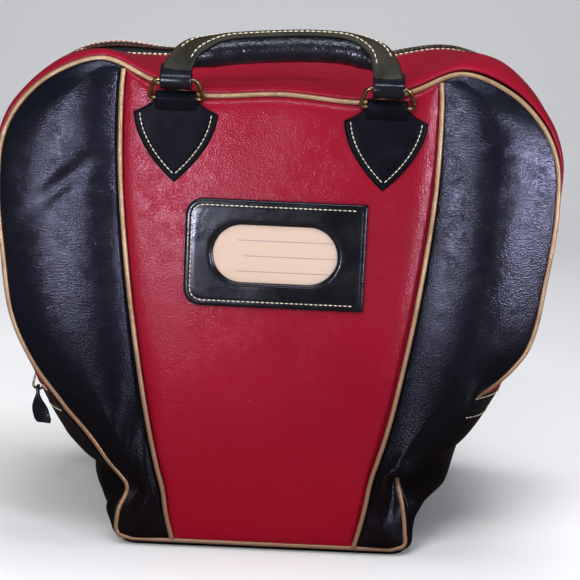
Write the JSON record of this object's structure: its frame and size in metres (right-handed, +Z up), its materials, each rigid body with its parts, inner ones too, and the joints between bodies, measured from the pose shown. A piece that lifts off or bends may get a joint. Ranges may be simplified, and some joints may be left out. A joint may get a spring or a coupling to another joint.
{
  "type": "bowling ball bag",
  "caption": "Soft leather bowling ball bag with a keystone front, piped seams, an over-the-top zip, rolled handles on wire rings and a windowed name tag.",
  "frame": {"origin": "middle of the flat underside of the base, on the ground", "axes": "+X to the right of someone facing the front, -Y out of the front face with the name tag, +Z up"},
  "size_m": [0.3662, 0.272, 0.3424],
  "materials": {
    "red_leather": "smooth fine-grained crimson bag leather, soft satin sheen",
    "black_leather": "smooth fine-grained blue-black bag leather, soft pearly sheen",
    "handle_leather": "heavier glossy black leather with cream stitching",
    "gold_piping": "bronze-gold coated piping, slightly metallic",
    "brass": "worn brass wire",
    "zip_metal": "pale nickel-brass zip metal",
    "zip_tape": "black woven cotton tape",
    "card": "aged cream card with ruled lines, matt",
    "clear_plastic": "thin clear celluloid window",
    "board": "brown fibre board, matt",
    "ring_plastic": "black moulded plastic",
    "lining_cloth": "grey-brown woven lining cloth"
  },
  "bodies": {
    "root": {"base_panel": "black_leather", "base_board": "board", "ball_ring": "ring_plastic", "lower_gusset_left": "black_leather", "lower_gusset_right": "black_leather", "zip_end_patch_left": "black_leather", "zip_end_patch_right": "black_leather"},
    "front_side": {"front_center_panel": "red_leather", "front_left_panel": "black_leather", "front_right_panel": "black_leather", "front_lining": "lining_cloth", "front_top_gusset": "red_leather", "front_zip_tape": "zip_tape", "front_zip_teeth": "zip_metal", "front_edge_piping": "gold_piping", "front_left_piping": "gold_piping", "front_right_piping": "gold_piping", "front_left_handle_tab": "handle_leather", "front_right_handle_tab": "handle_leather", "name_tag_frame": "handle_leather", "name_tag_window": "clear_plastic"},
    "back_side": {"back_center_panel": "red_leather", "back_left_panel": "black_leather", "back_right_panel": "black_leather", "back_lining": "lining_cloth", "back_top_gusset": "red_leather", "back_zip_tape": "zip_tape", "back_zip_teeth": "zip_metal", "back_edge_piping": "gold_piping", "back_left_piping": "gold_piping", "back_right_piping": "gold_piping", "back_left_handle_tab": "handle_leather", "back_right_handle_tab": "handle_leather"},
    "front_left_ring": {"front_left_ring": "brass"},
    "front_right_ring": {"front_right_ring": "brass"},
    "front_handle": {"front_handle_grip": "handle_leather", "front_handle_strap": "handle_leather"},
    "back_left_ring": {"back_left_ring": "brass"},
    "back_right_ring": {"back_right_ring": "brass"},
    "back_handle": {"back_handle_grip": "handle_leather", "back_handle_strap": "handle_leather"},
    "zip_slider": {"zip_slider": "zip_metal"},
    "zip_pull": {"zip_pull": "zip_metal", "pull_thong": "handle_leather"},
    "name_card": {"name_card": "card"}
  },
  "joints": [
    {"name": "front_side_open", "type": "hinge", "parent": "root", "child": "front_side", "pos_m": [0, -0.1105, 0.003], "axis": [1, 0, 0], "range_deg": [0, 20]},
    {"name": "back_side_open", "type": "hinge", "parent": "root", "child": "back_side", "pos_m": [0, 0.1105, 0.003], "axis": [-1, 0, 0], "range_deg": [0, 20]},
    {"name": "front_ring_swing", "type": "hinge", "parent": "front_side", "child": "front_left_ring", "pos_m": [-0.066, -0.1177, 0.297], "axis": [1, 0, 0], "range_deg": [-25, 60]},
    {"name": "front_right_ring_swing", "type": "hinge", "parent": "front_side", "child": "front_right_ring", "pos_m": [0.066, -0.1177, 0.297], "axis": [1, 0, 0], "range_deg": [-25, 60]},
    {"name": "front_handle_swing", "type": "hinge", "parent": "front_left_ring", "child": "front_handle", "pos_m": [-0.066, -0.1247, 0.30912], "axis": [1, 0, 0], "range_deg": [-20, 140]},
    {"name": "back_ring_swing", "type": "hinge", "parent": "back_side", "child": "back_left_ring", "pos_m": [0.066, 0.1177, 0.297], "axis": [-1, 0, 0], "range_deg": [-90, 0]},
    {"name": "back_right_ring_swing", "type": "hinge", "parent": "back_side", "child": "back_right_ring", "pos_m": [-0.066, 0.1177, 0.297], "axis": [-1, 0, 0], "range_deg": [-90, 0]},
    {"name": "back_handle_swing", "type": "hinge", "parent": "back_left_ring", "child": "back_handle", "pos_m": [0.066, 0.12573, 0.28553], "axis": [-1, 0, 0], "range_deg": [-90, 0]},
    {"name": "zip_slider_travel", "type": "hinge", "parent": "front_side", "child": "zip_slider", "pos_m": [0.045, 0, 0.197], "axis": [0, 1, 0], "range_deg": [0, 45]},
    {"name": "zip_pull_swing", "type": "hinge", "parent": "zip_slider", "child": "zip_pull", "pos_m": [-0.16834, 0, 0.09797], "axis": [0, 1, 0], "range_deg": [0, 150]},
    {"name": "name_card_slide", "type": "slide", "parent": "front_side", "child": "name_card", "axis": [1, 0, 0], "range_m": [0, 0.034]}
  ],
  "couplings": [
    {"joint": "front_right_ring_swing", "follows": "front_ring_swing", "ratio": 1},
    {"joint": "back_right_ring_swing", "follows": "back_ring_swing", "ratio": 1}
  ]
}
